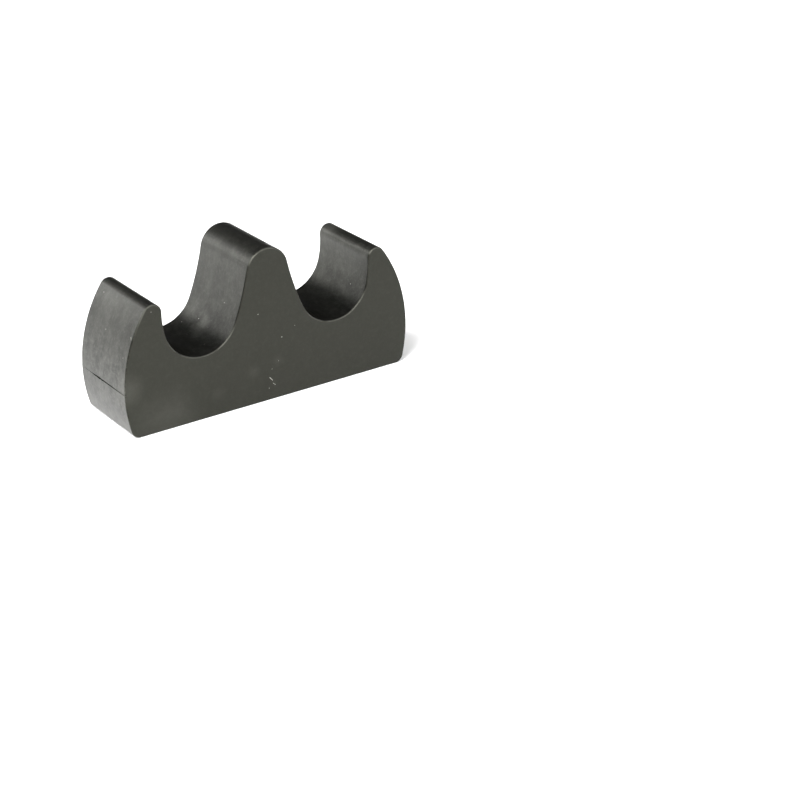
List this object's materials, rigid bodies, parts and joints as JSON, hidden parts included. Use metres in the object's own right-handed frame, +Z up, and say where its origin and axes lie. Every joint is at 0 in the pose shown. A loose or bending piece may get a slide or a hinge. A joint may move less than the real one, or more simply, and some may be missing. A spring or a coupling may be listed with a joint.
{
  "type": "brush rest",
  "caption": "Moulded desk rest for brushes: troughs between rounded humps, bulging ends and a ribbed hollow underneath.",
  "frame": {"origin": "centre of the base, on the plane the rest stands on", "axes": "+X along the length, +Y through the depth from the front face to the back face, +Z up"},
  "size_m": [0.084, 0.0236, 0.0416],
  "materials": {
    "body_plastic": "black plastic with a fine, semi-matt moulded surface and light handling smudges"
  },
  "bodies": {
    "root": {"rest_body": "body_plastic"}
  },
  "joints": []
}
